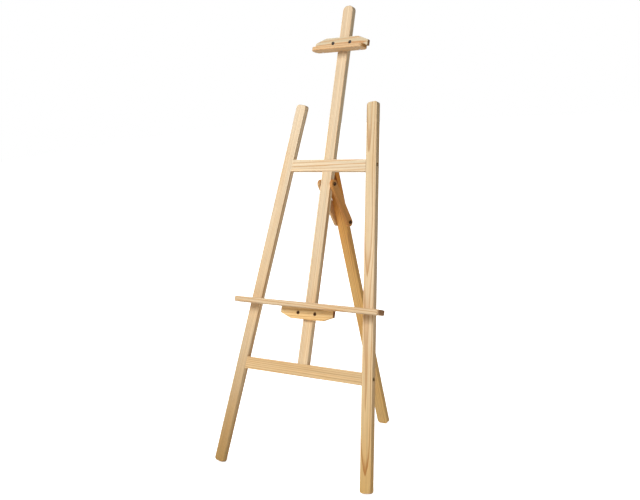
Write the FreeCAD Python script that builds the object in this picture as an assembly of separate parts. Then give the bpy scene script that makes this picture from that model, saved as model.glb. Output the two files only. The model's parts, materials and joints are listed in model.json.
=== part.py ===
"""Wooden artist easel: a flat frame of pine laths with a sliding tray and clamp, and a rear leg on two stays.

Millimetres. Every piece is drawn with the frame upright: X to the right, Y to the back, Z up, the front faces
of the laths on Y = 0, the lower ends of the front legs' centre lines on Z = 0. The whole easel is then leaned
back onto its three feet, with the floor on Z = 0 and the origin under the middle of its bounding box.
"""
import FreeCAD, Part
import math
import os

from FreeCAD import Vector

# Laths
LATH_WIDTH = 40.0
LATH_THICKNESS = 18.0
EDGE_ROUND = 1.5
END_ROUND = 10.0
MAST_TOP_ROUND = 17.0

# Front frame
LEG_LENGTH = 1230.0
SPLAY_DEG = 7.3
FOOT_SPACING = 602.0
LOWER_RAIL_HEIGHT = 319.0
UPPER_RAIL_HEIGHT = 991.0
MAST_TOP_HEIGHT = 1552.0

# Stance: the frame's lean from the vertical, and the rear leg's angle to the frame, open and folded
LEAN_DEG = 20.35
PROP_OPEN_DEG = 30.8
PROP_FOLDED_DEG = 3.5

# Stays: thin bars with round ends that carry the rear leg on two cross bolts
STAY_PIVOT_HEIGHT = 951.0
STAY_LENGTH = 155.0
STAY_WIDTH = 28.0
STAY_THICKNESS = 10.0
STAY_END_FULLNESS = 0.999
PROP_HEAD = 185.5

# Tray: shelf, block under it, bar behind the mast
TRAY_HEIGHT = 538.0
SHELF_LENGTH = 596.0
SHELF_DEPTH = 40.0
SHELF_THICKNESS = 18.0
SHELF_EDGE_ROUND = 4.0
SHELF_CORNER_ROUND = 12.0
TRAY_BLOCK_HEIGHT = 36.0
TRAY_BOLT_DROP = 16.0

# Top clamp: lip, block on it, bar behind the mast
CLAMP_HEIGHT = 1394.0
LIP_LENGTH = 212.0
LIP_DEPTH = 40.0
LIP_THICKNESS = 12.0
LIP_EDGE_ROUND = 1.5
LIP_CORNER_ROUND = 18.0
CLAMP_BLOCK_HEIGHT = 34.0
CLAMP_BOLT_RISE = 15.0

# Blocks and bars of both clamps
BLOCK_LENGTH = 214.0
BLOCK_THICKNESS = 12.0
BLOCK_SLANT_LENGTH = 42.0
BLOCK_SLANT_HEIGHT = 15.0
BAR_LENGTH = 110.0
BAR_HEIGHT = 30.0
BAR_THICKNESS = 14.0
BAR_REBATE = 3.0
BAR_CORNER_ROUND = 3.0
BOARD_ROUND = 1.0
BOLT_GAP = 11.5

# Fits
SLIDE_GAP = 0.3
PIVOT_FIT = 0.05

# M6 bolts, nuts and washers
BOLT_RADIUS = 3.0
BOLT_HEAD_RADIUS = 5.6
BOLT_HEAD_HEIGHT = 3.2
BOLT_HEAD_ROUND = 1.9
BOLT_SOCKET_WIDTH = 4.0
BOLT_SOCKET_DEPTH = 1.8
SINK_RADIUS = 6.2
SINK_DEPTH = 4.0
WASHER_RADIUS = 6.5
WASHER_THICKNESS = 1.2
NUT_WIDTH = 10.0
NUT_HEIGHT = 5.0
BOLT_TAIL = 1.0
WING_BOLT_TAIL = 2.0
WING_HUB_RADIUS = 5.0
WING_HUB_HEIGHT = 8.0
WING_SPAN_RADIUS = 13.0
WING_HEIGHT = 13.0
WING_THICKNESS = 2.6
WING_HUB_TAPER = 0.8
WING_ROOT = 1.2
WING_SHOULDER_HEIGHT = 7.0
WING_TIP_WIDTH = 5.0
WING_CORNER_ROUND = 2.0
WING_EDGE_ROUND = 0.8

# Joints of the frame
FRAME_BOLT_RISE = 4.0
FRAME_BOLT_SINK = 8.0
FRAME_BOLT_REACH = 32.0
BARREL_RADIUS = 5.0
BARREL_LENGTH = 14.0
DOWEL_RADIUS = 4.0
DOWEL_LENGTH = 30.0
RAIL_DOWEL_DROP = 10.0
FOOT_DOWEL_LENGTH = 40.0
FOOT_DOWEL_OFFSET = 10.0
SCREW_RADIUS = 1.75
SCREW_HEAD_RADIUS = 3.5
SCREW_HEAD_HEIGHT = 2.4
SCREW_POINT_LENGTH = 3.5
SCREW_POINT_RADIUS = 0.4
LAP_SCREW_OFFSET = 11.0
LAP_SCREW_COVER = 3.0
BOARD_SCREW_OFFSETS = (-75.0, 0.0, 75.0)
BOARD_SCREW_BITE = 20.0

# Derived places
SPLAY = math.radians(SPLAY_DEG)
LEAN = math.radians(LEAN_DEG)
HALF_WIDTH = LATH_WIDTH / 2
HALF_THICKNESS = LATH_THICKNESS / 2
LOWER_RAIL_TOP = LOWER_RAIL_HEIGHT + LATH_WIDTH
UPPER_RAIL_TOP = UPPER_RAIL_HEIGHT + LATH_WIDTH
BOLT_X = HALF_WIDTH + BOLT_GAP + BOLT_RADIUS
TRAY_BOLT_HEIGHT = TRAY_HEIGHT - TRAY_BOLT_DROP
CLAMP_LIP_TOP = CLAMP_HEIGHT + LIP_THICKNESS
CLAMP_BOLT_HEIGHT = CLAMP_LIP_TOP + CLAMP_BOLT_RISE
BLOCK_MIDDLE_Y = -SLIDE_GAP - BLOCK_THICKNESS / 2
BAR_FRONT_Y = LATH_THICKNESS + SLIDE_GAP - BAR_REBATE
BAR_BACK_Y = BAR_FRONT_Y + BAR_THICKNESS
STAY_INNER_X = HALF_WIDTH + SLIDE_GAP
STAY_OUTER_X = STAY_INNER_X + STAY_THICKNESS


def stay_angle(prop_angle):
    """Angle of the stays to the mast that keeps the rear leg's top edge just behind the mast, in radians."""
    from_mast = SLIDE_GAP + HALF_THICKNESS
    reach = from_mast + PROP_HEAD * math.sin(prop_angle) + HALF_THICKNESS * math.cos(prop_angle)
    return math.asin(reach / STAY_LENGTH)


def stay_end(angle):
    """Centre of the stays' lower bolt, (y, z), with the stays at this angle to the mast."""
    return HALF_THICKNESS + STAY_LENGTH * math.sin(angle), STAY_PIVOT_HEIGHT - STAY_LENGTH * math.cos(angle)


PROP_OPEN = math.radians(PROP_OPEN_DEG)
STAY_OPEN = stay_angle(PROP_OPEN)
PROP_PIVOT_Y, PROP_PIVOT_Z = stay_end(STAY_OPEN)


# Shapes that several pieces share

def turned(shape, axis, degrees, centre=Vector(0, 0, 0)):
    """A copy of the shape turned about an axis through the centre."""
    copy = shape.copy()
    copy.rotate(centre, axis, degrees)
    return copy


def moved(shape, x=0.0, y=0.0, z=0.0):
    """A copy of the shape shifted by x, y and z."""
    copy = shape.copy()
    copy.translate(Vector(x, y, z))
    return copy


def box(x0, x1, y0, y1, z0, z1):
    """A box between two values on each axis."""
    return Part.makeBox(x1 - x0, y1 - y0, z1 - z0, Vector(x0, y0, z0))


def rod(radius, start, end):
    """A round rod between two points."""
    run = end - start
    return Part.makeCylinder(radius, run.Length, start, run)


def outline(corners):
    """A closed wire through (point, round) corners; a round over 0 is a tangent arc at that corner."""
    edges = []
    ends = []
    count = len(corners)
    for i, (point, radius) in enumerate(corners):
        before = (corners[i - 1][0] - point).normalize()
        after = (corners[(i + 1) % count][0] - point).normalize()
        if radius == 0.0:
            ends.append((point, point, None))
            continue
        half = before.getAngle(after) / 2
        reach = radius / math.tan(half)
        middle = point + (before + after).normalize() * (radius / math.sin(half) - radius)
        ends.append((point + before * reach, point + after * reach, middle))
    for i, (start, end, middle) in enumerate(ends):
        if middle is not None:
            edges.append(Part.Arc(start, middle, end).toShape())
        edges.append(Part.LineSegment(end, ends[(i + 1) % count][0]).toShape())
    return Part.Wire(edges)


def board(corners, thickness, softened, skip=None):
    """A flat board: the outline pushed along thickness, with rounded face edges where skip(edge) is false."""
    solid = Part.Face(outline(corners)).extrude(thickness)
    along = Vector(thickness).normalize()
    base = corners[0][0].dot(along)
    rims = []
    for edge in solid.Edges:
        depths = [vertex.Point.dot(along) - base for vertex in edge.Vertexes]
        flat = max(depths) - min(depths) < 1e-6
        if flat and not (skip and skip(edge)):
            rims.append(edge)
    return solid.makeFillet(softened, rims)


def lath(length, top_round, foot_round):
    """A lath standing on Z = 0, its front face on Y = 0, centred on X = 0."""
    corners = [
        (Vector(-HALF_WIDTH, 0, 0), foot_round),
        (Vector(HALF_WIDTH, 0, 0), foot_round),
        (Vector(HALF_WIDTH, 0, length), top_round),
        (Vector(-HALF_WIDTH, 0, length), top_round),
    ]

    def at_square_foot(edge):
        return foot_round == 0.0 and edge.BoundBox.ZMax < 1e-6

    return board(corners, Vector(0, LATH_THICKNESS, 0), EDGE_ROUND, at_square_foot)


def sunk_head_hole(seat, out, depth):
    """Room for a sunk bolt head: from its seat outwards."""
    return rod(SINK_RADIUS, seat, seat + out * depth)


def bolt(seat, into, length):
    """An M6 bolt with a low round head and a hexagon socket: head on the seat, shank going into."""
    shank = rod(BOLT_RADIUS, seat, seat + into * length)
    head = Part.makeCylinder(BOLT_HEAD_RADIUS, BOLT_HEAD_HEIGHT, seat, into * -1)
    top = seat - into * BOLT_HEAD_HEIGHT
    rim = [e for e in head.Edges if e.Closed and (e.CenterOfMass - top).Length < 1e-6]
    head = head.makeFillet(BOLT_HEAD_ROUND, rim)
    socket = hexagon_bar(top, into, BOLT_SOCKET_WIDTH, BOLT_SOCKET_DEPTH)
    return shank.fuse(head).cut(socket).removeSplitter()


def hexagon_bar(start, along, across, length):
    """A hexagonal bar of this width across its flats, from start along a direction."""
    side = along.cross(Vector(0, 0, 1)).normalize()
    other = along.cross(side).normalize()
    reach = across / 2 / math.cos(math.pi / 6)
    points = []
    for k in range(7):
        turn = math.pi / 3 * k
        points.append(start + side * (reach * math.cos(turn)) + other * (reach * math.sin(turn)))
    return Part.Face(Part.makePolygon(points)).extrude(along * length)


def hex_nut(seat, out):
    """A hexagon nut on a bolt's end, resting on the seat."""
    body = hexagon_bar(seat, out, NUT_WIDTH, NUT_HEIGHT)
    return body.cut(rod(BOLT_RADIUS, seat, seat + out * NUT_HEIGHT))


def washer(seat, out):
    """A flat washer resting on the seat."""
    disc = rod(WASHER_RADIUS, seat, seat + out * WASHER_THICKNESS)
    return disc.cut(rod(BOLT_RADIUS, seat, seat + out * WASHER_THICKNESS))


def screw(head_top, into, length):
    """A countersunk wood screw, its head's face at head_top."""
    neck = head_top + into * SCREW_HEAD_HEIGHT
    head = Part.makeCone(SCREW_HEAD_RADIUS, SCREW_RADIUS, SCREW_HEAD_HEIGHT, head_top, into)
    tip = head_top + into * (length - SCREW_POINT_LENGTH)
    shank = rod(SCREW_RADIUS, neck, tip)
    point = Part.makeCone(SCREW_RADIUS, SCREW_POINT_RADIUS, SCREW_POINT_LENGTH, tip, into)
    return head.fuse([shank, point]).removeSplitter()


def wing_nut(seat):
    """A wing nut on a bolt that runs to the back, its base on the seat, its wings left and right."""
    hub_top = WING_HUB_RADIUS - WING_HUB_TAPER
    hub = Part.makeCone(WING_HUB_RADIUS, hub_top, WING_HUB_HEIGHT, seat, Vector(0, 1, 0))
    profile = (
        (0.0, WING_ROOT, 0.0),
        (WING_HUB_RADIUS, WING_ROOT, 0.0),
        (WING_SPAN_RADIUS, WING_SHOULDER_HEIGHT, WING_CORNER_ROUND),
        (WING_SPAN_RADIUS, WING_HEIGHT, WING_CORNER_ROUND),
        (WING_SPAN_RADIUS - WING_TIP_WIDTH, WING_HEIGHT, WING_CORNER_ROUND),
        (WING_HUB_RADIUS / 2, WING_HUB_HEIGHT - WING_ROOT, 0.0),
        (0.0, WING_HUB_HEIGHT - WING_ROOT, 0.0),
    )
    corners = []
    for x, y, radius in profile:
        corners.append((seat + Vector(x, y, -WING_THICKNESS / 2), radius))

    def inside_hub(edge):
        return edge.CenterOfMass.x < seat.x + WING_HUB_RADIUS

    right = board(corners, Vector(0, 0, WING_THICKNESS), WING_EDGE_ROUND, inside_hub)
    left = turned(right, Vector(0, 1, 0), 180, seat)
    bore = rod(BOLT_RADIUS + PIVOT_FIT, seat, seat + Vector(0, WING_HEIGHT, 0))
    return hub.fuse([right, left]).cut(bore).removeSplitter()


def group(shapes):
    """Separate solids in one compound."""
    solids = []
    for shape in shapes:
        solids.extend(shape.Solids)
    return Part.makeCompound(solids)


parts = {}

# Front frame: two splayed legs, two rails between them, and the mast


def leg_inner_x(z):
    """X of the right leg's inner edge at a height."""
    return FOOT_SPACING / 2 - z * math.tan(SPLAY) - HALF_WIDTH / math.cos(SPLAY)


def leg_outer_x(z):
    """X of the right leg's outer edge at a height."""
    return FOOT_SPACING / 2 - z * math.tan(SPLAY) + HALF_WIDTH / math.cos(SPLAY)


def rail(bottom):
    """A rail between the legs, its ends cut to their splay, its long edges rounded."""
    top = bottom + LATH_WIDTH
    corners = [
        (Vector(-leg_inner_x(bottom), 0, bottom), 0.0),
        (Vector(leg_inner_x(bottom), 0, bottom), 0.0),
        (Vector(leg_inner_x(top), 0, top), 0.0),
        (Vector(-leg_inner_x(top), 0, top), 0.0),
    ]

    def at_end(edge):
        return abs(edge.CenterOfMass.x) > 1.0

    return board(corners, Vector(0, LATH_THICKNESS, 0), EDGE_ROUND, at_end)


legs = {}
for side, name in ((-1, "leg_left"), (1, "leg_right")):
    upright = lath(LEG_LENGTH, END_ROUND, END_ROUND)
    legs[name] = moved(turned(upright, Vector(0, 1, 0), -side * SPLAY_DEG), side * FOOT_SPACING / 2)

rails = {"lower_rail": rail(LOWER_RAIL_HEIGHT), "upper_rail": rail(UPPER_RAIL_HEIGHT)}
mast = moved(lath(MAST_TOP_HEIGHT - LOWER_RAIL_TOP, MAST_TOP_ROUND, 0.0), z=LOWER_RAIL_TOP)

# The mast and the upper rail are halved into each other, the rail's half in front
rail_notch = box(-HALF_WIDTH, HALF_WIDTH, HALF_THICKNESS, LATH_THICKNESS, UPPER_RAIL_HEIGHT, UPPER_RAIL_TOP)
mast_notch = box(-HALF_WIDTH, HALF_WIDTH, 0, HALF_THICKNESS, UPPER_RAIL_HEIGHT, UPPER_RAIL_TOP)
rails["upper_rail"] = rails["upper_rail"].cut(rail_notch)
mast = mast.cut(mast_notch)

lap_screws = []
for side in (-1, 1):
    offset = side * LAP_SCREW_OFFSET
    head_top = Vector(offset, LATH_THICKNESS, UPPER_RAIL_HEIGHT + HALF_WIDTH + offset)
    lap_screws.append(screw(head_top, Vector(0, -1, 0), LATH_THICKNESS - LAP_SCREW_COVER))
lap_screws = group(lap_screws)
rails["upper_rail"] = rails["upper_rail"].cut(lap_screws)
mast = mast.cut(lap_screws)

foot_dowels = []
for side in (-1, 1):
    foot = Vector(side * FOOT_DOWEL_OFFSET, HALF_THICKNESS, LOWER_RAIL_TOP - FOOT_DOWEL_LENGTH / 2)
    foot_dowels.append(rod(DOWEL_RADIUS, foot, foot + Vector(0, 0, FOOT_DOWEL_LENGTH)))
foot_dowels = group(foot_dowels)
mast = mast.cut(foot_dowels)
rails["lower_rail"] = rails["lower_rail"].cut(foot_dowels)

# Each rail is held to each leg by a sunk bolt into a barrel nut, and kept from turning by a dowel
frame_bolts = []
barrel_nuts = []
rail_dowels = []
for bottom, rail_name in ((LOWER_RAIL_HEIGHT, "lower_rail"), (UPPER_RAIL_HEIGHT, "upper_rail")):
    bolt_z = bottom + HALF_WIDTH + FRAME_BOLT_RISE
    dowel_z = bottom + HALF_WIDTH - RAIL_DOWEL_DROP
    for side, leg_name in ((-1, "leg_left"), (1, "leg_right")):
        inward = Vector(-side, 0, 0)
        seat = Vector(side * (leg_outer_x(bolt_z) - FRAME_BOLT_SINK), HALF_THICKNESS, bolt_z)
        barrel_x = side * (leg_inner_x(bolt_z) - FRAME_BOLT_REACH)
        reach = abs(seat.x - barrel_x) + BARREL_RADIUS
        shaft = rod(BOLT_RADIUS, seat, seat + inward * reach)
        head_room = sunk_head_hole(seat, inward * -1, FRAME_BOLT_SINK + HALF_WIDTH)
        barrel_foot = Vector(barrel_x, HALF_THICKNESS - BARREL_LENGTH / 2, bolt_z)
        barrel = rod(BARREL_RADIUS, barrel_foot, barrel_foot + Vector(0, BARREL_LENGTH, 0))
        barrel_hole = rod(BARREL_RADIUS, barrel_foot, Vector(barrel_x, LATH_THICKNESS, bolt_z))
        dowel_end = Vector(side * leg_inner_x(dowel_z) - DOWEL_LENGTH / 2, HALF_THICKNESS, dowel_z)
        dowel = rod(DOWEL_RADIUS, dowel_end, dowel_end + Vector(DOWEL_LENGTH, 0, 0))
        legs[leg_name] = legs[leg_name].cut([shaft, head_room, dowel])
        rails[rail_name] = rails[rail_name].cut([shaft, barrel_hole, dowel])
        frame_bolts.append(bolt(seat, inward, reach))
        barrel_nuts.append(barrel.cut(shaft))
        rail_dowels.append(dowel)

parts.update(legs)
parts.update(rails)
parts["frame_bolts"] = group(frame_bolts)
parts["frame_barrel_nuts"] = group(barrel_nuts)
parts["rail_dowels"] = group(rail_dowels)
parts["mast_foot_dowels"] = foot_dowels
parts["mast_lap_screws"] = lap_screws

# Stays: their round ends turn on a bolt through the mast, and carry a bolt through the rear leg


def cross_bolt(y, z, gap):
    """A bolt across both stays, head on the right and nut on the left, its washers this gap off the stays."""
    right = Vector(STAY_OUTER_X + gap, y, z)
    left = Vector(-STAY_OUTER_X - gap, y, z)
    inward = Vector(-1, 0, 0)
    step = inward * WASHER_THICKNESS
    reach = (right - left).Length + 2 * WASHER_THICKNESS + NUT_HEIGHT + BOLT_TAIL
    washers = group([washer(right, inward * -1), washer(left, inward)])
    return bolt(right - step, inward, reach), washers, hex_nut(left + step, inward)


def stay(x):
    """A bar with round ends between the two bolts, its inner face at x, drawn hanging straight down."""
    half = STAY_WIDTH / 2
    foot = STAY_PIVOT_HEIGHT - STAY_LENGTH - half
    corners = []
    for side, z in ((-1, foot), (1, foot), (1, STAY_PIVOT_HEIGHT + half), (-1, STAY_PIVOT_HEIGHT + half)):
        corners.append((Vector(x, HALF_THICKNESS + side * half, z), half * STAY_END_FULLNESS))
    return board(corners, Vector(STAY_THICKNESS, 0, 0), BOARD_ROUND)


mast_pivot = Vector(0, HALF_THICKNESS, STAY_PIVOT_HEIGHT)
prop_pivot = Vector(0, PROP_PIVOT_Y, PROP_PIVOT_Z)
pivot_bolt, pivot_washers, pivot_nut = cross_bolt(mast_pivot.y, mast_pivot.z, SLIDE_GAP)
prop_bolt, prop_washers, prop_nut = cross_bolt(prop_pivot.y, prop_pivot.z, 0.0)
span = Vector(2 * STAY_OUTER_X, 0, 0)
mast_shaft = rod(BOLT_RADIUS, mast_pivot - span, mast_pivot + span)
running_shaft = rod(BOLT_RADIUS + PIVOT_FIT, mast_pivot - span, mast_pivot + span)
prop_shaft = rod(BOLT_RADIUS, prop_pivot - span, prop_pivot + span)
for name, inner_x in (("stay_left", -STAY_OUTER_X), ("stay_right", STAY_INNER_X)):
    hung = turned(stay(inner_x), Vector(1, 0, 0), math.degrees(STAY_OPEN), mast_pivot)
    parts[name] = hung.cut([running_shaft, prop_shaft])
parts["mast"] = mast.cut(mast_shaft)
parts["stay_pivot_bolt"] = pivot_bolt
parts["stay_pivot_washers"] = pivot_washers
parts["stay_pivot_nut"] = pivot_nut
parts["prop_pivot_bolt"] = prop_bolt
parts["prop_pivot_washers"] = prop_washers
parts["prop_pivot_nut"] = prop_nut

# Rear leg: its top edge stands just behind the mast, and it reaches the floor of the front feet


def leaned_height(y, z):
    """Height above the frame's turning axis of a point, once the frame leans back."""
    return z * math.cos(LEAN) - y * math.sin(LEAN)


inner_corner_z = END_ROUND * math.cos(SPLAY) - (HALF_WIDTH - END_ROUND) * math.sin(SPLAY)
floor = leaned_height(LATH_THICKNESS - EDGE_ROUND, inner_corner_z - (END_ROUND - EDGE_ROUND)) - EDGE_ROUND
top_edge_y = PROP_PIVOT_Y - PROP_HEAD * math.sin(PROP_OPEN) - HALF_THICKNESS * math.cos(PROP_OPEN)
top_edge_z = PROP_PIVOT_Z + PROP_HEAD * math.cos(PROP_OPEN) - HALF_THICKNESS * math.sin(PROP_OPEN)
upright_part = math.cos(PROP_OPEN - LEAN)
forward_part = math.sin(PROP_OPEN - LEAN)
drop = leaned_height(top_edge_y, top_edge_z) - floor
REAR_LEG_LENGTH = (drop - EDGE_ROUND + EDGE_ROUND * forward_part) / upright_part + EDGE_ROUND
rear_leg = moved(lath(REAR_LEG_LENGTH, END_ROUND, END_ROUND), y=top_edge_y, z=top_edge_z - REAR_LEG_LENGTH)
rear_leg = turned(rear_leg, Vector(1, 0, 0), PROP_OPEN_DEG, Vector(0, top_edge_y, top_edge_z))
prop_running_shaft = rod(BOLT_RADIUS + PIVOT_FIT, prop_pivot - span, prop_pivot + span)
parts["rear_leg"] = rear_leg.cut(prop_running_shaft)

# Tray and top clamp: a board in front of the mast and a bar behind it, pinched together by two bolts


def block(edge_z, slant_z, far_z):
    """A board across the mast: full length at edge_z, its corners slanted from slant_z to its far edge."""
    half = BLOCK_LENGTH / 2
    back = -SLIDE_GAP
    outer = [(half, edge_z), (half, slant_z), (half - BLOCK_SLANT_LENGTH, far_z)]
    points = outer + [(-x, z) for x, z in reversed(outer)]
    corners = [(Vector(x, back, z), 0.0) for x, z in points]

    def against_ledge(edge):
        return abs(edge.CenterOfMass.z - edge_z) < 1e-6

    return board(corners, Vector(0, -BLOCK_THICKNESS, 0), BOARD_ROUND, against_ledge)


def clamp_bar(bolt_z):
    """The bar behind the mast, rebated to run on it."""
    half = BAR_LENGTH / 2
    corners = []
    for x, z in ((-half, -1), (half, -1), (half, 1), (-half, 1)):
        corner = Vector(x, BAR_FRONT_Y, bolt_z + z * BAR_HEIGHT / 2)
        corners.append((corner, BAR_CORNER_ROUND))
    bar = board(corners, Vector(0, BAR_THICKNESS, 0), BOARD_ROUND)
    side = HALF_WIDTH + SLIDE_GAP
    groove = box(-side, side, 0, BAR_FRONT_Y + BAR_REBATE, bolt_z - BAR_HEIGHT, bolt_z + BAR_HEIGHT)
    return bar.cut(groove)


def mast_clamp(front, prefix, bolt_z):
    """Drill the board and the bar, and add the bolts, washers and wing nuts that pinch the mast."""
    seat_y = -SLIDE_GAP - BLOCK_THICKNESS + SINK_DEPTH
    nut_y = BAR_BACK_Y + WASHER_THICKNESS + SLIDE_GAP
    back = Vector(0, 1, 0)
    bar = clamp_bar(bolt_z)
    bolts = []
    washers = []
    for x, side in ((-BOLT_X, "left"), (BOLT_X, "right")):
        seat = Vector(x, seat_y, bolt_z)
        length = nut_y + WING_HUB_HEIGHT + WING_BOLT_TAIL - seat_y
        shaft = rod(BOLT_RADIUS, seat, seat + back * length)
        front = front.cut([shaft, sunk_head_hole(seat, back * -1, BLOCK_THICKNESS)])
        bar = bar.cut(shaft)
        bolts.append(bolt(seat, back, length))
        washers.append(washer(Vector(x, BAR_BACK_Y, bolt_z), back))
        parts[prefix + "_wing_nut_" + side] = wing_nut(Vector(x, nut_y, bolt_z))
    parts[prefix + "_block"] = front
    parts[prefix + "_bar"] = bar
    parts[prefix + "_bolts"] = group(bolts)
    parts[prefix + "_washers"] = group(washers)


def ledge(length, depth, thickness, bottom, corner_round, edge_round):
    """A board lying flat against the front of the frame."""
    half = length / 2
    front = -SLIDE_GAP - depth
    corners = []
    for x, y in ((-half, front), (half, front), (half, -SLIDE_GAP), (-half, -SLIDE_GAP)):
        corners.append((Vector(x, y, bottom), corner_round))
    return board(corners, Vector(0, 0, thickness), edge_round)


def board_screws(head_z, into, thickness):
    """The row of screws that holds a ledge of this thickness to its block."""
    screws = []
    for x in BOARD_SCREW_OFFSETS:
        screws.append(screw(Vector(x, BLOCK_MIDDLE_Y, head_z), into, thickness + BOARD_SCREW_BITE))
    return group(screws)


shelf_top = TRAY_HEIGHT + SHELF_THICKNESS
tray_far = TRAY_HEIGHT - TRAY_BLOCK_HEIGHT
tray_block = block(TRAY_HEIGHT, tray_far + BLOCK_SLANT_HEIGHT, tray_far)
tray_screws = board_screws(shelf_top, Vector(0, 0, -1), SHELF_THICKNESS)
shelf_rounds = (SHELF_CORNER_ROUND, SHELF_EDGE_ROUND)
tray_shelf = ledge(SHELF_LENGTH, SHELF_DEPTH, SHELF_THICKNESS, TRAY_HEIGHT, *shelf_rounds)
parts["tray_shelf"] = tray_shelf.cut(tray_screws)
parts["tray_screws"] = tray_screws
mast_clamp(tray_block.cut(tray_screws), "tray", TRAY_BOLT_HEIGHT)

clamp_far = CLAMP_LIP_TOP + CLAMP_BLOCK_HEIGHT
clamp_block = block(CLAMP_LIP_TOP, clamp_far - BLOCK_SLANT_HEIGHT, clamp_far)
clamp_screws = board_screws(CLAMP_HEIGHT, Vector(0, 0, 1), LIP_THICKNESS)
lip_rounds = (LIP_CORNER_ROUND, LIP_EDGE_ROUND)
clamp_lip = ledge(LIP_LENGTH, LIP_DEPTH, LIP_THICKNESS, CLAMP_HEIGHT, *lip_rounds)
parts["clamp_lip"] = clamp_lip.cut(clamp_screws)
parts["clamp_screws"] = clamp_screws
mast_clamp(clamp_block.cut(clamp_screws), "clamp", CLAMP_BOLT_HEIGHT)

# Lean the easel back onto its feet and write the pieces


def lean_back(shape):
    """The shape turned with the frame, from upright to its lean."""
    return turned(shape, Vector(1, 0, 0), -LEAN_DEG)


leaned = {name: lean_back(shape) for name, shape in parts.items()}
bounds = Part.makeCompound(list(leaned.values())).optimalBoundingBox(False)
STAND_SHIFT = Vector(0, -(bounds.YMin + bounds.YMax) / 2, -floor)


def stand_point(x, y, z):
    """Where a point of the upright drawing stands on the floor."""
    turned_y = y * math.cos(LEAN) + z * math.sin(LEAN)
    return Vector(x, turned_y, leaned_height(y, z)) + STAND_SHIFT


os.makedirs("parts", exist_ok=True)
for name, shape in leaned.items():
    shape.translate(STAND_SHIFT)
    shape.exportStep("parts/" + name + ".step")
    print(name, len(shape.Solids), "solid(s),", round(shape.Volume / 1000, 1), "cm3, valid", shape.isValid())

# Facts that the joints are set up from
stays_fold = math.degrees(stay_angle(math.radians(PROP_FOLDED_DEG)) - STAY_OPEN)
print("stays fold by", round(stays_fold, 3), "deg, rear leg by", PROP_FOLDED_DEG - PROP_OPEN_DEG, "deg")
print("stays turn about", stand_point(0, HALF_THICKNESS, STAY_PIVOT_HEIGHT))
print("rear leg turns about", stand_point(0, PROP_PIVOT_Y, PROP_PIVOT_Z))
print("middle of the tray bolts' row", stand_point(0, BLOCK_MIDDLE_Y, TRAY_BOLT_HEIGHT))
print("middle of the clamp bolts' row", stand_point(0, BLOCK_MIDDLE_Y, CLAMP_BOLT_HEIGHT))
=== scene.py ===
import bmesh
import bpy
import json
import math
import numpy as np
from mathutils import Matrix, Vector


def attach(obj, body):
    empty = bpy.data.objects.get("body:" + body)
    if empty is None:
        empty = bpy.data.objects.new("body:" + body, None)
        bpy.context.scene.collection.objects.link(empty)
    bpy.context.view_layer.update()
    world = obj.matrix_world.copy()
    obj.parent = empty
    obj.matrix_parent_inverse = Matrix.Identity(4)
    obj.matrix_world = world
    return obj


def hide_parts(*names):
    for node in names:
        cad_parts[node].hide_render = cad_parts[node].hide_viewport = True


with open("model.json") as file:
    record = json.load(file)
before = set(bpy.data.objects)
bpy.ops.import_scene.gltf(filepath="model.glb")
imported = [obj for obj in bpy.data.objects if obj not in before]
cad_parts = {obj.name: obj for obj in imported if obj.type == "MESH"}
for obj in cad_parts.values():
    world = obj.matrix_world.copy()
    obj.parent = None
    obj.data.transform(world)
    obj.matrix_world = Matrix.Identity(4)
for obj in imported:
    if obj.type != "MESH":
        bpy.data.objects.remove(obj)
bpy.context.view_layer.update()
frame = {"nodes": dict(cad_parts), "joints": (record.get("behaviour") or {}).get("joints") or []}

# ---------------------------------------------------------------------------------------------------------
# Front legs: two planed pine laths, splayed, with rounded ends and softened arrises.
# The wood is bare and sanded, so its growth rings and fibres make all of its look.
# ---------------------------------------------------------------------------------------------------------


def lay(tree, kind, inputs=None, **settings):
    """Adds a node to a tree, sets its settings, and links or sets its inputs."""
    made = tree.nodes.new(kind)
    for name, value in settings.items():
        setattr(made, name, value)
    for name, value in (inputs or {}).items():
        if isinstance(value, bpy.types.NodeSocket):
            tree.links.new(value, made.inputs[name])
        else:
            made.inputs[name].default_value = value
    return made


def reckon(tree, operation, a, b=0.0, c=0.0):
    """One sum on two or three numbers."""
    return lay(tree, "ShaderNodeMath", {0: a, 1: b, 2: c}, operation=operation).outputs[0]


def reckon_point(tree, operation, a, b=(0.0, 0.0, 0.0), scale=1.0):
    """One sum on two points, whose answer is a point."""
    return lay(tree, "ShaderNodeVectorMath", {0: a, 1: b, 3: scale}, operation=operation).outputs[0]


def length_of(tree, point):
    """How far a point is from the middle."""
    return lay(tree, "ShaderNodeVectorMath", {0: point}, operation="LENGTH").outputs["Value"]


def parts_of(tree, point):
    """The three numbers of a point."""
    return lay(tree, "ShaderNodeSeparateXYZ", {0: point}).outputs


def ease(tree, value, low, high, to_low=0.0, to_high=1.0):
    """A smooth step of a value from one span to another."""
    sockets = {"Value": value, "From Min": low, "From Max": high, "To Min": to_low, "To Max": to_high}
    return lay(tree, "ShaderNodeMapRange", sockets, interpolation_type="SMOOTHSTEP").outputs[0]


def span(tree, value, low, high, to_low, to_high):
    """A straight step of a value from one span to another."""
    sockets = {"Value": value, "From Min": low, "From Max": high, "To Min": to_low, "To Max": to_high}
    return lay(tree, "ShaderNodeMapRange", sockets).outputs[0]


def cloud(tree, point, detail=2.0, roughness=0.5):
    """Smooth noise between 0 and 1 at a point that already has its scale."""
    sockets = {"Vector": point, "Scale": 1.0, "Detail": detail, "Roughness": roughness}
    return lay(tree, "ShaderNodeTexNoise", sockets).outputs["Fac"]


def grain_spot(tree, place, across, along, seed):
    """A point for noise that changes this many times a metre across and along the grain."""
    return reckon_point(tree, "ADD", reckon_point(tree, "MULTIPLY", place, (across, across, along)), seed)


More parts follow.
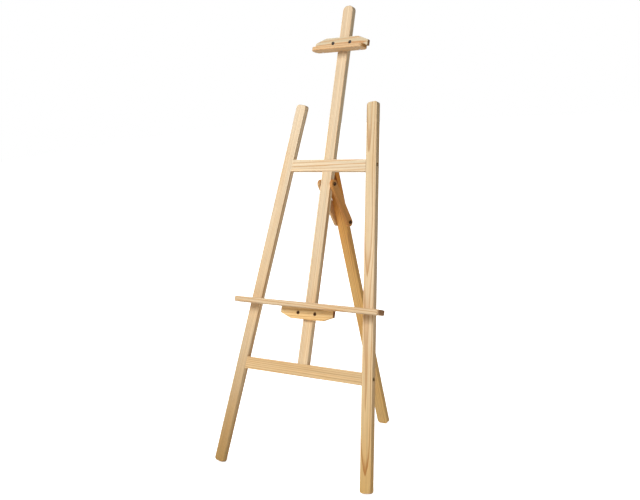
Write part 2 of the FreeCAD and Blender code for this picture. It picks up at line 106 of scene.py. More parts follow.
def blend_colours(tree, share, first, second, how="MIX"):
    """Two colours mixed by a share."""
    made = lay(tree, "ShaderNodeMix", {0: share, 6: first, 7: second}, data_type="RGBA", blend_type=how)
    return made.outputs[2]


def stained(tree, colour, stain):
    """A colour with another one laid over it like a stain."""
    if not isinstance(stain, bpy.types.NodeSocket):
        stain = (*stain, 1.0)
    return blend_colours(tree, 1.0, colour, stain, "MULTIPLY")


def new_group(name, inputs, outputs):
    """An empty node group with named sockets, and its two end nodes."""
    group = bpy.data.node_groups.new(name, "ShaderNodeTree")
    sockets = group.interface
    for label, kind, value in inputs:
        socket = sockets.new_socket(label, in_out="INPUT", socket_type="NodeSocket" + kind)
        socket.default_value = value
    for label, kind in outputs:
        sockets.new_socket(label, in_out="OUTPUT", socket_type="NodeSocket" + kind)
    start = group.nodes.new("NodeGroupInput").outputs
    end = group.nodes.new("NodeGroupOutput").inputs
    return group, start, end


def make_growth_rings():
    """The rings of a trunk cut by a lath: its position runs along Z, and the heart lies off to one side."""
    inputs = (
        ("Place", "Vector", (0.0, 0.0, 0.0)),
        ("Heart", "Vector", (0.0, 0.05, 0.0)),
        ("Lean", "Vector", (0.0, 0.0, 0.0)),
        ("Ring", "Float", 0.003),
        ("Waver", "Float", 0.006),
        ("Seed", "Float", 0.0),
    )
    group, given, out = new_group("growth_rings", inputs, (("Late", "Float"), ("Pores", "Float")))
    seed_step = (13.1, 7.7, 3.3)
    seed = reckon_point(group, "SCALE", seed_step, scale=given["Seed"])
    place = given["Place"]

    # the trunk leans and bends as it rises
    bends_per_metre = 2.2
    height = parts_of(group, place)[2]
    lean = reckon_point(group, "SCALE", given["Lean"], scale=height)
    rise = reckon(group, "MULTIPLY", height, bends_per_metre)
    bend_spot = reckon_point(group, "ADD", lay(group, "ShaderNodeCombineXYZ", {2: rise}).outputs[0], seed)
    bend_sockets = {"Vector": bend_spot, "Scale": 1.0, "Detail": 1.0}
    bend = lay(group, "ShaderNodeTexNoise", bend_sockets).outputs["Color"]
    bend = reckon_point(group, "SUBTRACT", bend, (0.5, 0.5, 0.5))
    bend = reckon_point(group, "SCALE", bend, scale=given["Waver"])
    from_heart = reckon_point(group, "SUBTRACT", place, given["Heart"])
    from_heart = reckon_point(group, "SUBTRACT", from_heart, lean)
    from_heart = reckon_point(group, "ADD", from_heart, bend)
    from_heart = reckon_point(group, "MULTIPLY", from_heart, (1.0, 1.0, 0.0))
    count = reckon(group, "DIVIDE", length_of(group, from_heart), given["Ring"])

    # rings are never quite round, and good and bad summers space them unevenly
    broad_wave = (26.0, 2.4, 1.1)
    small_wave = (170.0, 9.0, 0.16)
    for across, along, rings_moved in (broad_wave, small_wave):
        push = reckon(group, "SUBTRACT", cloud(group, grain_spot(group, place, across, along, seed)), 0.5)
        count = reckon(group, "MULTIPLY_ADD", push, rings_moved, count)
    spells_per_ring, spell_push = 0.43, 1.3
    spell = reckon(group, "MULTIPLY", count, spells_per_ring)
    spell_spot = lay(group, "ShaderNodeCombineXYZ", {0: spell, 1: given["Seed"]}).outputs[0]
    count = reckon(group, "MULTIPLY_ADD", cloud(group, spell_spot, 1.0), spell_push, count)

    # within a year, late wood grows in slowly and stops at once, and each year has its own strength
    late_begins, late_full, late_ends, year_ends = (0.35, 0.66), 0.93, 0.95, 1.0
    late_strength = (0.55, 1.0)
    seed_years = 31.0
    season = reckon(group, "FRACT", count)
    year = reckon(group, "FLOOR", count)
    year = reckon(group, "ADD", year, reckon(group, "MULTIPLY", given["Seed"], seed_years))
    luck = lay(group, "ShaderNodeTexWhiteNoise", {"W": year}, noise_dimensions="1D").outputs["Value"]
    begin = span(group, luck, 0.0, 1.0, *late_begins)
    growth = ease(group, season, begin, late_full)
    stop = ease(group, season, late_ends, year_ends, 1.0, 0.0)
    late = reckon(group, "MULTIPLY", growth, stop)
    late = reckon(group, "MULTIPLY", late, span(group, luck, 0.0, 1.0, *late_strength))
    group.links.new(late, out["Late"])

    # resin ducts: short dark dashes along the grain, mostly in late wood
    duct_across, duct_along, duct_faint, duct_full, early_share = 1500.0, 52.0, 0.66, 0.76, 0.35
    dash = cloud(group, grain_spot(group, place, duct_across, duct_along, seed), 1.0)
    ducts = ease(group, dash, duct_faint, duct_full)
    ducts = reckon(group, "MULTIPLY", ducts, span(group, late, 0.0, 1.0, early_share, 1.0))
    group.links.new(ducts, out["Pores"])
    return group


def make_sawn_pine(growth_rings):
    """Colour, roughness and relief of sanded bare pine, with darker end grain and rubbed arrises."""
    inputs = (
        ("Place", "Vector", (0.0, 0.0, 0.0)),
        ("Along", "Vector", (0.0, 0.0, 1.0)),
        ("Half", "Vector", (0.02, 0.009, 0.5)),
        ("Heart", "Vector", (0.0, 0.05, 0.0)),
        ("Lean", "Vector", (0.0, 0.0, 0.0)),
        ("Ring", "Float", 0.003),
        ("Waver", "Float", 0.006),
        ("Bold", "Float", 0.5),
        ("Seed", "Float", 0.0),
        ("Early wood", "Color", (0.84, 0.63, 0.37, 1.0)),
        ("Late wood", "Color", (0.60, 0.33, 0.13, 1.0)),
        ("Foot light and tint", "Color", (1.0, 1.0, 1.0, 1.0)),
        ("Head light and tint", "Color", (1.0, 1.0, 1.0, 1.0)),
        ("End grain and shade", "Color", (0.80, 0.66, 0.52, 1.0)),
    )
    outputs = (("Colour", "Color"), ("Roughness", "Float"), ("Height", "Float"))
    group, given, out = new_group("sawn_pine", inputs, outputs)
    rings = lay(group, "ShaderNodeGroup", node_tree=growth_rings)
    for label in ("Place", "Heart", "Lean", "Ring", "Waver", "Seed"):
        group.links.new(given[label], rings.inputs[label])
    late, ducts = rings.outputs["Late"], rings.outputs["Pores"]
    place = given["Place"]
    seed_step = (5.9, 17.3, 11.1)
    seed = reckon_point(group, "SCALE", seed_step, scale=given["Seed"])

    # early and late wood, with warmer patches
    warm_stain, warm_share = (1.0, 0.90, 0.76), 0.8
    patch_spot = grain_spot(group, place, 22.0, 4.5, seed)
    patch = ease(group, cloud(group, patch_spot), 0.35, 0.75, 0.0, warm_share)
    late_share = reckon(group, "MULTIPLY", late, given["Bold"])
    colour = blend_colours(group, late_share, given["Early wood"], given["Late wood"])
    colour = blend_colours(group, patch, colour, stained(group, colour, warm_stain))

    # fibres: thin streaks all along the lath, a fine set and a broad set
    fine_shade, broad_shade = (0.90, 1.07), (0.85, 1.08)
    fine = cloud(group, grain_spot(group, place, 1100.0, 16.0, seed), 3.0, 0.6)
    broad = cloud(group, grain_spot(group, place, 150.0, 1.6, seed))
    shade = span(group, fine, 0.2, 0.8, *fine_shade)
    shade = reckon(group, "MULTIPLY", shade, span(group, broad, 0.25, 0.75, *broad_shade))
    grey = lay(group, "ShaderNodeCombineColor", {0: shade, 1: shade, 2: shade}).outputs[0]
    colour = stained(group, colour, grey)
    duct_stain, duct_share = (0.70, 0.52, 0.38), 0.6
    resin = stained(group, colour, duct_stain)
    colour = blend_colours(group, reckon(group, "MULTIPLY", ducts, duct_share), colour, resin)

    # painted light and shade towards each end of a lath, with some tint: each end has its own colour, for
    # light falling off towards the floor and for the upper rail's shadow
    light_and_tint_starts = 0.15
    half = parts_of(group, given["Half"])
    rise = reckon(group, "DIVIDE", parts_of(group, place)[2], half[2])
    for end_light_and_tint, far in (("Foot light and tint", -1.0), ("Head light and tint", 1.0)):
        lit_and_tinted = stained(group, colour, given[end_light_and_tint])
        colour = blend_colours(group, span(group, rise, light_and_tint_starts * far, far, 0.0, 1.0), colour, lit_and_tinted)

    # end grain drinks more dust and light than the sides; where a board's end grain colour is set dark, it is
    # partly painted shade of an end in shadow
    normal = lay(group, "ShaderNodeTexCoord").outputs["Normal"]
    sockets = {0: normal, 1: given["Along"]}
    facing = lay(group, "ShaderNodeVectorMath", sockets, operation="DOT_PRODUCT").outputs["Value"]
    end = ease(group, reckon(group, "ABSOLUTE", facing), 0.45, 0.85)
    colour = blend_colours(group, end, colour, stained(group, colour, given["End grain and shade"]))

    # arrises: sanded last and handled most, so a little paler and smoother
    arris_inside, arris_outside = 0.0026, 0.0006
    rubbed_stain = (1.10, 1.08, 1.06)
    across = parts_of(group, reckon_point(group, "ABSOLUTE", place))
    near = []
    for axis in (0, 1):
        gap = reckon(group, "SUBTRACT", half[axis], across[axis])
        near.append(ease(group, gap, arris_outside, arris_inside, 1.0, 0.0))
    arris = reckon(group, "MULTIPLY", near[0], near[1])
    rubbed = reckon(group, "MULTIPLY", arris, ease(group, cloud(group, patch_spot, 4.0), 0.35, 0.6))
    colour = blend_colours(group, rubbed, colour, stained(group, colour, rubbed_stain))
    group.links.new(colour, out["Colour"])

    # late wood is denser and takes more polish than early wood
    early_rough, late_rough, arris_smoother, end_rougher = 0.64, 0.50, 0.10, 0.15
    rough = span(group, late, 0.0, 1.0, early_rough, late_rough)
    rough = reckon(group, "ADD", rough, span(group, fine, 0.2, 0.8, -0.05, 0.08))
    rough = reckon(group, "SUBTRACT", rough, reckon(group, "MULTIPLY", rubbed, arris_smoother))
    rough = reckon(group, "ADD", rough, reckon(group, "MULTIPLY", end, end_rougher))
    group.links.new(rough, out["Roughness"])
    late_relief, fibre_relief, duct_relief = 0.55, 0.45, 0.5
    fibres = reckon(group, "MULTIPLY", fine, fibre_relief)
    relief = reckon(group, "MULTIPLY_ADD", late, late_relief, fibres)
    relief = reckon(group, "SUBTRACT", relief, reckon(group, "MULTIPLY", ducts, duct_relief))
    group.links.new(relief, out["Height"])
    return group


sawn_pine = make_sawn_pine(make_growth_rings())


def lath_axes(piece):
    """A board's middle, its wide, thin and long directions, and its half sizes along them, from its faces."""
    mesh = frame["nodes"][piece].data
    mesh.calc_loop_triangles()
    points = np.array([v.co for v in mesh.vertices])
    corners = points[np.array([t.vertices for t in mesh.loop_triangles])]
    areas = np.array([t.area for t in mesh.loop_triangles])
    middle = (corners.mean(axis=1) * areas[:, None]).sum(axis=0) / areas.sum()
    edge_middles = (corners + np.roll(corners, 1, axis=1)) / 2 - middle
    spread = np.einsum("t,tki,tkj->ij", areas, edge_middles, edge_middles)
    thin, wide, long = np.linalg.eigh(spread)[1].T
    long = long if long[np.abs(long).argmax()] > 0 else -long
    thin = thin if thin[1] < 0 else -thin
    wide = np.cross(thin, long)
    axes = np.array((wide, thin, long))
    reach = points @ axes.T
    halves = (reach.max(axis=0) - reach.min(axis=0)) / 2
    centre = axes.T @ ((reach.max(axis=0) + reach.min(axis=0)) / 2)
    return Vector(centre), Matrix(axes.tolist()), Vector(halves)


def dress(piece, material):
    """Puts a material on every slot of a node's object."""
    slots = frame["nodes"][piece].data.materials
    for i in range(len(slots)):
        slots[i] = material
    if not len(slots):
        slots.append(material)


def finish(tree, surface, strength, depth):
    """Gives a material's shader the colour, roughness and relief of a group."""
    shader = tree.nodes["Principled BSDF"]
    tree.links.new(surface.outputs["Colour"], shader.inputs["Base Color"])
    tree.links.new(surface.outputs["Roughness"], shader.inputs["Roughness"])
    sockets = {"Height": surface.outputs["Height"], "Strength": strength, "Distance": depth}
    tree.links.new(lay(tree, "ShaderNodeBump", sockets).outputs[0], shader.inputs["Normal"])
    return shader


WHITE = (1.0, 1.0, 1.0)


def dress_in_pine(piece, early, late, heart, lean=(0.0, 0.0), ring=0.003, waver=0.006, bold=0.5, seed=1.0,
                  foot_light_and_tint=WHITE, head_light_and_tint=WHITE, end_grain_and_shade=(0.80, 0.66, 0.52)):
    """Gives a board its own cut of pine: the trunk's heart and rings in metres, and painted light and shade,
    with some tint, towards each end.
    """
    centre, axes, halves = lath_axes(piece)
    material = bpy.data.materials.new("pine_" + piece)
    material.use_nodes = True
    tree = material.node_tree
    place = lay(tree, "ShaderNodeMapping", {
        "Vector": lay(tree, "ShaderNodeTexCoord").outputs["Object"],
        "Rotation": axes.to_euler("XYZ"),
        "Location": -(axes @ centre),
    }).outputs[0]
    wood = lay(tree, "ShaderNodeGroup", {
        "Place": place,
        "Along": axes[2],
        "Half": halves,
        "Heart": (*heart, 0.0),
        "Lean": (*lean, 0.0),
        "Ring": ring,
        "Waver": waver,
        "Bold": bold,
        "Seed": seed,
        "Early wood": (*early, 1.0),
        "Late wood": (*late, 1.0),
        "Foot light and tint": (*foot_light_and_tint, 1.0),
        "Head light and tint": (*head_light_and_tint, 1.0),
        "End grain and shade": (*end_grain_and_shade, 1.0),
    }, node_tree=sawn_pine)
    shader = finish(tree, wood, strength=0.35, depth=0.0003)
    shader.inputs["IOR"].default_value = 1.46
    shader.inputs["Specular IOR Level"].default_value = 0.35
    dress(piece, material)


PALE_EARLY = (0.81, 0.645, 0.42)
PALE_LATE = (0.60, 0.31, 0.11)
GOLDEN_EARLY = (0.82, 0.62, 0.375)
GOLDEN_LATE = (0.52, 0.25, 0.08)

# the front legs' darker, warmer feet are painted shade, light falling off towards the floor; the left leg's
# paler head is painted light
dress_in_pine("leg_left", PALE_EARLY, PALE_LATE, heart=(0.06, 0.035), lean=(0.004, 0.003), ring=0.0050,
              bold=0.95, seed=1.0, foot_light_and_tint=(0.60, 0.47, 0.24), head_light_and_tint=(1.0, 1.02, 1.06))
dress_in_pine("leg_right", GOLDEN_EARLY, GOLDEN_LATE, heart=(0.006, 0.045), lean=(0.006, -0.018), ring=0.0055,
              waver=0.012, bold=1.0, seed=2.0, foot_light_and_tint=(0.82, 0.71, 0.44), head_light_and_tint=(0.87, 0.86, 0.80))

# ---------------------------------------------------------------------------------------------------------
# Rails: two pine laths cut to the splay of the legs and bolted between them, flush with their faces.
# The upper one is halved over the mast.
# ---------------------------------------------------------------------------------------------------------

dress_in_pine("upper_rail", PALE_EARLY, PALE_LATE, heart=(0.035, 0.055), lean=(0.022, 0.010), ring=0.0062,
              bold=1.0, seed=3.0)
dress_in_pine("lower_rail", (0.768, 0.54, 0.275), GOLDEN_LATE, heart=(-0.05, 0.05), lean=(0.01, 0.01),
              ring=0.0048, bold=1.0, seed=4.0)

# ---------------------------------------------------------------------------------------------------------
# Mast: one long straight-grained pine lath with a rounded top.
# It is pinned to the lower rail and halved into the upper one.
# ---------------------------------------------------------------------------------------------------------

dress_in_pine("mast", PALE_EARLY, PALE_LATE, heart=(0.07, 0.02), lean=(0.005, 0.002), ring=0.0056, bold=0.95,
              seed=5.0, head_light_and_tint=(0.92, 0.90, 0.88))

# ---------------------------------------------------------------------------------------------------------
# Rear leg and stays: the same pine, coloured darker and warmer, partly as painted shade of the frame in front
# of them.
# The two round-ended stays hang from a cross bolt in the mast and carry the leg on another.
# ---------------------------------------------------------------------------------------------------------

# the rear leg's darker, warmer head is the painted shadow of the upper rail, and its paler foot is painted
# light
dress_in_pine("rear_leg", (0.77, 0.47, 0.155), (0.46, 0.22, 0.07), heart=(-0.02, 0.04), lean=(0.01, 0.012),
              ring=0.0036, bold=1.0, seed=6.0, foot_light_and_tint=(1.10, 1.18, 1.32), head_light_and_tint=(0.98, 0.685, 0.30))
# the right stay's darker, more saturated colours are partly painted shade, from the upper rail above it
dress_in_pine("stay_left", (0.72, 0.48, 0.24), (0.46, 0.19, 0.05), heart=(0.05, 0.03), bold=0.8, seed=7.0)
dress_in_pine("stay_right", (0.74, 0.36, 0.10), (0.40, 0.15, 0.04), heart=(-0.04, 0.04), bold=0.8, seed=8.0)

# ---------------------------------------------------------------------------------------------------------
# Tray: a pine shelf screwed down on a block in front of the mast, and a rebated bar behind it.
# Two bolts pull the bar and the block together on the mast.
# ---------------------------------------------------------------------------------------------------------

# the tray block's dark end grain is partly painted shade of its right-hand end
dress_in_pine("tray_shelf", (0.755, 0.55, 0.322), PALE_LATE, heart=(0.05, 0.02), lean=(0.01, 0.01),
              ring=0.0048, bold=1.0, seed=9.0, end_grain_and_shade=(0.52, 0.40, 0.34))
dress_in_pine("tray_block", (0.90, 0.62, 0.285), (0.62, 0.33, 0.10), heart=(0.02, 0.03), lean=(0.02, 0.02),
              ring=0.0060, bold=1.0, seed=10.0, end_grain_and_shade=(0.30, 0.17, 0.10))
dress_in_pine("tray_bar", PALE_EARLY, PALE_LATE, heart=(0.03, 0.03), bold=0.6, seed=11.0)

# ---------------------------------------------------------------------------------------------------------
# Top clamp: the tray's mirror in small, a pine lip under a block, with its own bar behind the mast.
# It is held by two bolts in the same way.
# ---------------------------------------------------------------------------------------------------------

# the clamp block's darker end grain is partly painted shade of its ends
dress_in_pine("clamp_lip", (0.70, 0.485, 0.268), PALE_LATE, heart=(0.04, 0.02), ring=0.0050, bold=1.0,
              seed=12.0, end_grain_and_shade=(0.75, 0.56, 0.34))
dress_in_pine("clamp_block", (0.68, 0.575, 0.385), PALE_LATE, heart=(-0.01, 0.03), lean=(0.06, 0.02),
              ring=0.0060, bold=1.0, seed=13.0, end_grain_and_shade=(0.58, 0.39, 0.27))
dress_in_pine("clamp_bar", PALE_EARLY, PALE_LATE, heart=(0.03, 0.03), bold=0.6, seed=14.0)

# ---------------------------------------------------------------------------------------------------------
# Dowels: turned beech pins, closer grained than the pine.
# They are glued into the legs, the rails and the foot of the mast.
# ---------------------------------------------------------------------------------------------------------

for pins in ("rail_dowels", "mast_foot_dowels"):
    dress_in_pine(pins, (0.66, 0.47, 0.31), (0.55, 0.36, 0.22), heart=(0.03, 0.03), ring=0.0016, bold=0.4,
                  seed=15.0)

# ---------------------------------------------------------------------------------------------------------
# Frame bolts, barrel nuts and screws: turned steel, sunk in the laths.
# The bolts are blackened, and the nuts and screws are zinc plated.
# ---------------------------------------------------------------------------------------------------------


def make_metal_tarnish():
    """Patchy plating: colour and roughness that wander over a small steel part."""
    inputs = (
        ("Clean", "Color", (0.6, 0.6, 0.6, 1.0)),
        ("Dull", "Color", (0.4, 0.4, 0.4, 1.0)),
        ("Smooth", "Float", 0.25),
        ("Rough", "Float", 0.5),
    )
    outputs = (("Colour", "Color"), ("Roughness", "Float"), ("Height", "Float"))
    group, given, out = new_group("metal_tarnish", inputs, outputs)
    blotches_per_metre, specks_per_metre, speck_roughness = 420.0, 2600.0, 0.06
    objects = lay(group, "ShaderNodeTexCoord").outputs["Object"]
    blotch = cloud(group, reckon_point(group, "SCALE", objects, scale=blotches_per_metre), 4.0, 0.6)
    speck = cloud(group, reckon_point(group, "SCALE", objects, scale=specks_per_metre), 3.0, 0.6)
    share = ease(group, blotch, 0.38, 0.66)
    group.links.new(blend_colours(group, share, given["Clean"], given["Dull"]), out["Colour"])
    rough = span(group, share, 0.0, 1.0, given["Smooth"], given["Rough"])
    grit = span(group, speck, 0.3, 0.7, -speck_roughness, speck_roughness)
    group.links.new(reckon(group, "ADD", rough, grit), out["Roughness"])
    group.links.new(speck, out["Height"])
    return group


metal_tarnish = make_metal_tarnish()


def plated_steel(name, clean, dull, smooth, rough):
    """A plated steel with its own colours and gloss."""
    material = bpy.data.materials.new(name)
    material.use_nodes = True
    tree = material.node_tree
    sockets = {"Clean": (*clean, 1.0), "Dull": (*dull, 1.0), "Smooth": smooth, "Rough": rough}
    plating = lay(tree, "ShaderNodeGroup", sockets, node_tree=metal_tarnish)
    shader = finish(tree, plating, strength=0.2, depth=0.00005)
    shader.inputs["Metallic"].default_value = 1.0
    return material


black_oxide = plated_steel("black_oxide_steel", (0.035, 0.030, 0.028), (0.075, 0.062, 0.052), 0.30, 0.52)
browned = plated_steel("browned_steel", (0.105, 0.055, 0.026), (0.19, 0.100, 0.048), 0.30, 0.50)
zinc = plated_steel("zinc_plated_steel", (0.63, 0.64, 0.66), (0.47, 0.47, 0.47), 0.22, 0.42)

dress("frame_bolts", black_oxide)
for piece in ("frame_barrel_nuts", "mast_lap_screws", "tray_screws", "clamp_screws"):
    dress(piece, zinc)

# ---------------------------------------------------------------------------------------------------------
# Cross bolts of the stays: M6 bolts with a rolled thread, through the mast and through the rear leg.
# Each has a washer at both sides and its nut on the left.
# ---------------------------------------------------------------------------------------------------------

MM = 0.001
SIDES = 36
SHARP_EDGE = math.radians(32.0)
mast_axis = Vector(next(joint["axis"] for joint in frame["joints"] if joint["name"] == "tray_slide"))
to_right = Vector((1.0, 0.0, 0.0))
to_back = mast_axis.cross(to_right)


def solids(piece, axis, paired):
    """The placement of each solid of a node, with Z along the axis and 0 at its lower end, and its length."""
    points = [vertex.co for vertex in frame["nodes"][piece].data.vertices]
    groups = ([p for p in points if p.x < 0], [p for p in points if p.x > 0]) if paired else (points,)
    side = to_right if abs(axis.x) < 0.5 else mast_axis
    up = axis.cross(side)
    found = []
    for group in groups:
        base = Vector()
        for direction in (side, up, axis):
            reach = [point.dot(direction) for point in group]
            base += direction * (min(reach) if direction == axis else (min(reach) + max(reach)) / 2)
        length = (max(reach) - min(reach)) / MM
        turn = Matrix((side, up, axis)).transposed().to_4x4()
        found.append((Matrix.Translation(base) @ turn @ Matrix.Scale(MM, 4), length))
    return found


def ring(height, reach):
    """Points round the axis at a height; reach is a radius, or a function from the angle to one."""
    points = []
    for j in range(SIDES):
        angle = 2 * math.pi * j / SIDES
        radius = reach(angle) if callable(reach) else reach
        points.append(Vector((radius * math.cos(angle), radius * math.sin(angle), height)))
    return points


def hexagon(across, limit=math.inf):
    """A hexagon's reach at an angle, for a width across its flats, turned off at a limiting radius."""
    half, sixth = math.pi / 6, math.pi / 3
    return lambda angle: min(limit, across / 2 / math.cos((angle + half) % sixth - half))


def skinned(rings, joined=False):
    """The points and faces of a skin over rings: its ends are capped, or its last ring meets the first."""
    count = len(rings[0])
    points = [point for one in rings for point in one]
    faces = []
    for i in range(len(rings) - (0 if joined else 1)):
        low, high = i * count, (i + 1) % len(rings) * count
        for j in range(count):
            after = (j + 1) % count
            faces.append((low + j, low + after, high + after, high + j))
    if not joined:
        faces.append(tuple(reversed(range(count))))
        faces.append(tuple(range(len(points) - count, len(points))))
    return points, faces


def fine_bolt(length):
    """An M6 bolt on its tip at 0: a rolled thread, a plain shank, a low domed head and a hexagon socket."""
    pitch, crest, root, steps = 1.0, 2.98, 2.42, 6
    thread_length, ridge_steepness, ridge_sunk = 24.0, 1.3, 0.12
    tip_radius, tip_chamfer, groove_radius = 2.1, 2.2, 2.7
    neck_radius, head_height, head_radius, rim_ease, rim_height = 3.2, 3.2, 5.6, 0.25, 1.3
    dome, dome_steps = 1.9, 8
    mouth_across, mouth_limit, mouth_depth = 4.5, 2.5, 0.2
    socket_across, socket_depth, point_depth, point_radius = 4.0, 1.8, 2.4, 0.2

    def thread(height):
        def reach(angle):
            phase = (height / pitch - angle / (2 * math.pi)) % 1.0
            ridge = ridge_steepness * (1.0 - abs(2.0 * phase - 1.0)) - ridge_sunk
            ridge = min(1.0, max(0.0, ridge))
            return min(root + (crest - root) * ridge, tip_chamfer + height)
        return reach

    rings = [ring(0.0, tip_radius)]
    for i in range(1, int(thread_length / pitch * steps)):
        height = i * pitch / steps
        rings.append(ring(height, thread(height)))
    seat = length - head_height
    rim = seat + rim_height
    rings += [ring(thread_length + 0.4, groove_radius), ring(thread_length + 1.0, crest)]
    rings += [ring(seat - 0.3, crest), ring(seat, neck_radius), ring(seat, head_radius - rim_ease)]
    rings += [ring(seat + rim_ease, head_radius), ring(rim, head_radius)]
    for k in range(1, dome_steps + 1):
        turn = math.pi / 2 * k / dome_steps
        rings.append(ring(rim + dome * math.sin(turn), head_radius - dome + dome * math.cos(turn)))
    mouth, socket = hexagon(mouth_across, mouth_limit), hexagon(socket_across)
    rings += [ring(length, mouth), ring(length - mouth_depth, socket), ring(length - socket_depth, socket)]
    rings.append(ring(length - point_depth, point_radius))
    return skinned(rings)


def fine_washer():
    """A stamped M6 washer lying on 0, with its edges slightly rolled."""
    section = ((3.15, 0.15), (3.3, 0.0), (6.3, 0.0), (6.5, 0.2),
               (6.5, 1.0), (6.3, 1.2), (3.3, 1.2), (3.15, 1.05))
    return skinned([ring(height, radius) for radius, height in section], joined=True)


def fine_nut():
    """An M6 hexagon nut standing on 0: both faces are turned to a chamfer, and its bore is eased."""
    across = 10.0
    outside = ((0.0, 4.85), (0.25, 5.35), (0.6, 6.0), (4.4, 6.0), (4.75, 5.35), (5.0, 4.85))
    bore = ((5.0, 3.4), (4.6, 3.05), (0.4, 3.05), (0.0, 3.4))
    rings = [ring(height, hexagon(across, limit)) for height, limit in outside]
    rings += [ring(height, radius) for height, radius in bore]
    return skinned(rings, joined=True)


def fitting(piece, material, body, placed):
    """A steel piece that stands for the CAD node of the same name: placed is (placement, shell) pairs."""
    points = []
    faces = []
    for placement, (shell_points, shell_faces) in placed:
        first = len(points)
        points += [placement @ point for point in shell_points]
        faces += [tuple(first + i for i in face) for face in shell_faces]
    mesh = bpy.data.meshes.new("fine_" + piece)
    mesh.from_pydata(points, [], faces)
    worked = bmesh.new()
    worked.from_mesh(mesh)
    bmesh.ops.recalc_face_normals(worked, faces=worked.faces)
    worked.to_mesh(mesh)
    worked.free()
    mesh.shade_smooth()
    mesh.set_sharp_from_angle(angle=SHARP_EDGE)
    mesh.materials.append(material)
    made = bpy.data.objects.new("fine_" + piece, mesh)
    bpy.context.scene.collection.objects.link(made)
    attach(made, body)
    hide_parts(piece)


def fit_all(piece, material, body, axis, paired, draw):
    """Draws a fitting at each solid of its node: draw gives the shells of one, from its length."""
    placed = []
    for placement, length in solids(piece, axis, paired):
        placed += [(placement, shell) for shell in draw(length)]
    fitting(piece, material, body, placed)


for name, body in (("stay_pivot", "frame"), ("prop_pivot", "stays")):
    fit_all(name + "_bolt", browned, body, to_right, False, lambda length: [fine_bolt(length)])
    fit_all(name + "_washers", browned, body, to_right, True, lambda length: [fine_washer()])
    fit_all(name + "_nut", zinc, body, to_right, False, lambda length: [fine_nut()])

# ---------------------------------------------------------------------------------------------------------
# Bolts of the tray and the clamp: the same M6 bolts, with heads sunk in the front blocks.
# Behind the bars they have zinc washers and cast wing nuts, which turn on them.
# ---------------------------------------------------------------------------------------------------------


def fine_wing_nut():
    """A cast wing nut standing on 0: a tapered hub with a bore, and two wings that rise and round off."""
    hub = ((3.1, 0.4), (3.4, 0.0), (4.7, 0.0), (5.0, 0.3), (4.75, 3.0), (4.4, 7.2), (4.1, 7.8), (3.8, 8.0),
           (3.4, 8.0), (3.1, 7.6))
    shells = [skinned([ring(height, radius) for radius, height in hub], joined=True)]
    # each station of a wing: its distance out, its middle's height, half its height and half its thickness
    stations = ((3.4, 4.2, 2.2, 1.3), (4.4, 4.7, 2.9, 1.28), (5.8, 5.7, 3.6, 1.22), (7.4, 7.0, 4.1, 1.15),
                (9.2, 8.3, 4.2, 1.1), (10.8, 9.1, 3.8, 1.08), (11.9, 9.6, 3.2, 1.0), (12.6, 9.8, 2.3, 0.8),
                (12.95, 9.9, 1.1, 0.4))
    wing_sides, fullness = 24, 3
    for side in (-1, 1):
        rings = []
        for x, middle, tall, thick in stations:
            one = []
            for j in range(wing_sides):
                angle = 2 * math.pi * j / wing_sides
                across, up = math.cos(angle), math.sin(angle)
                fuller = (abs(across) ** fullness + abs(up) ** fullness) ** (-1 / fullness)
                one.append(Vector((side * x, side * thick * across * fuller, middle + tall * up * fuller)))
            rings.append(one)
        shells.append(skinned(rings))
    return shells


for name, steel in (("tray", browned), ("clamp", black_oxide)):
    fit_all(name + "_bolts", steel, name, -to_back, True, lambda length: [fine_bolt(length)])
    fit_all(name + "_washers", zinc, name, to_back, True, lambda length: [fine_washer()])
    for side in ("left", "right"):
        nut, nut_body = name + "_wing_nut_" + side, name + "_nut_" + side
        fit_all(nut, zinc, nut_body, to_back, False, lambda length: fine_wing_nut())

# ---------------------------------------------------------------------------------------------------------
# Floor: a plain pale studio floor.
# It glows a little to the camera alone, and more so far from the easel, so that it has no visible edge.
# ---------------------------------------------------------------------------------------------------------

FLOOR_HALF = 12.0
FLOOR_GREY = 0.92
GLOW_NEAR, GLOW_FAR = 0.78, 1.0
GLOW_STARTS, GLOW_FULL = 0.5, 3.0

floor_corners = [(x * FLOOR_HALF, y * FLOOR_HALF, 0) for x, y in ((-1, -1), (1, -1), (1, 1), (-1, 1))]
floor_mesh = bpy.data.meshes.new("floor")
floor_mesh.from_pydata(floor_corners, [], [(0, 1, 2, 3)])
floor = bpy.data.objects.new("floor", floor_mesh)
bpy.context.scene.collection.objects.link(floor)
floor_paint = bpy.data.materials.new("pale_floor")
floor_paint.use_nodes = True
ground = floor_paint.node_tree
floor_shader = ground.nodes["Principled BSDF"]
floor_shader.inputs["Base Color"].default_value = (FLOOR_GREY, FLOOR_GREY, FLOOR_GREY, 1.0)
floor_shader.inputs["Roughness"].default_value = 0.9
floor_shader.inputs["Emission Color"].default_value = (*WHITE, 1.0)
spot = lay(ground, "ShaderNodeNewGeometry").outputs["Position"]
far = ease(ground, length_of(ground, spot), GLOW_STARTS, GLOW_FULL, GLOW_NEAR, GLOW_FAR)
glow = reckon(ground, "MULTIPLY", lay(ground, "ShaderNodeLightPath").outputs["Is Camera Ray"], far)
ground.links.new(glow, floor_shader.inputs["Emission Strength"])
floor_mesh.materials.append(floor_paint)

# ---------------------------------------------------------------------------------------------------------
# Lights: a broad soft lamp high at the front left, a weak warm one at the right, and a weak one behind.
# The room around them is white, and lights the easel far less than it shows.
# ---------------------------------------------------------------------------------------------------------


def soft_light(name, place, aim, size, power, colour):
    """A square area light at a place, turned towards a point."""
    lamp = bpy.data.lights.new(name, "AREA")
    lamp.size = size
    lamp.energy = power
    lamp.color = colour
    holder = bpy.data.objects.new(name, lamp)
    holder.location = place
    holder.rotation_euler = (Vector(aim) - Vector(place)).to_track_quat("-Z", "Y").to_euler()
    bpy.context.scene.collection.objects.link(holder)


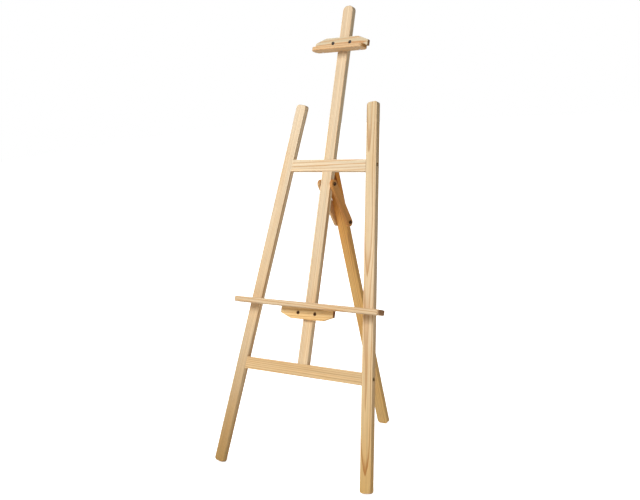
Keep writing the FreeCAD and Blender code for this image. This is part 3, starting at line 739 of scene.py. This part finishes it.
MIDDLE = (0.0, 0.0, 0.75)
UPPER_MIDDLE = (0.0, 0.0, 0.9)
soft_light("key", (-1.2, -2.55, 3.6), UPPER_MIDDLE, size=1.8, power=134.0, colour=(0.98, 1.0, 1.05))
soft_light("fill", (3.0, -2.5, 1.6), MIDDLE, size=2.0, power=12.0, colour=(1.0, 0.94, 0.85))
soft_light("back", (-1.0, 3.2, 1.4), MIDDLE, size=2.0, power=30.0, colour=WHITE)

ROOM_LIGHT = 0.30
ROOM_SHOWN = 1.0

world = bpy.data.worlds.new("studio")
world.use_nodes = True
bpy.context.scene.world = world
room = world.node_tree
shown = lay(room, "ShaderNodeBackground", {"Color": (*WHITE, 1.0), "Strength": ROOM_SHOWN})
lit = room.nodes["Background"]
lit.inputs["Color"].default_value = (*WHITE, 1.0)
lit.inputs["Strength"].default_value = ROOM_LIGHT
looked_at = lay(room, "ShaderNodeLightPath").outputs["Is Camera Ray"]
choice = lay(room, "ShaderNodeMixShader", {0: looked_at, 1: lit.outputs[0], 2: shown.outputs[0]})
room.links.new(choice.outputs[0], room.nodes["World Output"].inputs["Surface"])
bpy.context.scene.view_settings.view_transform = "Standard"

# ---------------------------------------------------------------------------------------------------------
# Camera: a long lens at the front right of the easel and a little above its middle.
# It is turned slightly about its own line of sight.
# ---------------------------------------------------------------------------------------------------------

AZIMUTH = math.radians(38.5)
ELEVATION = math.radians(10.84)
ROLL = math.radians(5.22)
DISTANCE = 3.457
LENS = 59.85
AIM = Vector((0.008, -0.018, 0.691))

level = math.cos(ELEVATION)
away = Vector((math.sin(AZIMUTH) * level, -math.cos(AZIMUTH) * level, math.sin(ELEVATION)))
facing = (-away).to_track_quat("-Z", "Y")
camera = bpy.data.objects.new("camera", bpy.data.cameras.new("camera"))
camera.data.lens = LENS
camera.location = AIM + away * DISTANCE
camera.rotation_mode = "QUATERNION"
camera.rotation_quaternion = facing @ Matrix.Rotation(-ROLL, 4, "Z").to_quaternion()
bpy.context.scene.collection.objects.link(camera)
bpy.context.scene.camera = camera
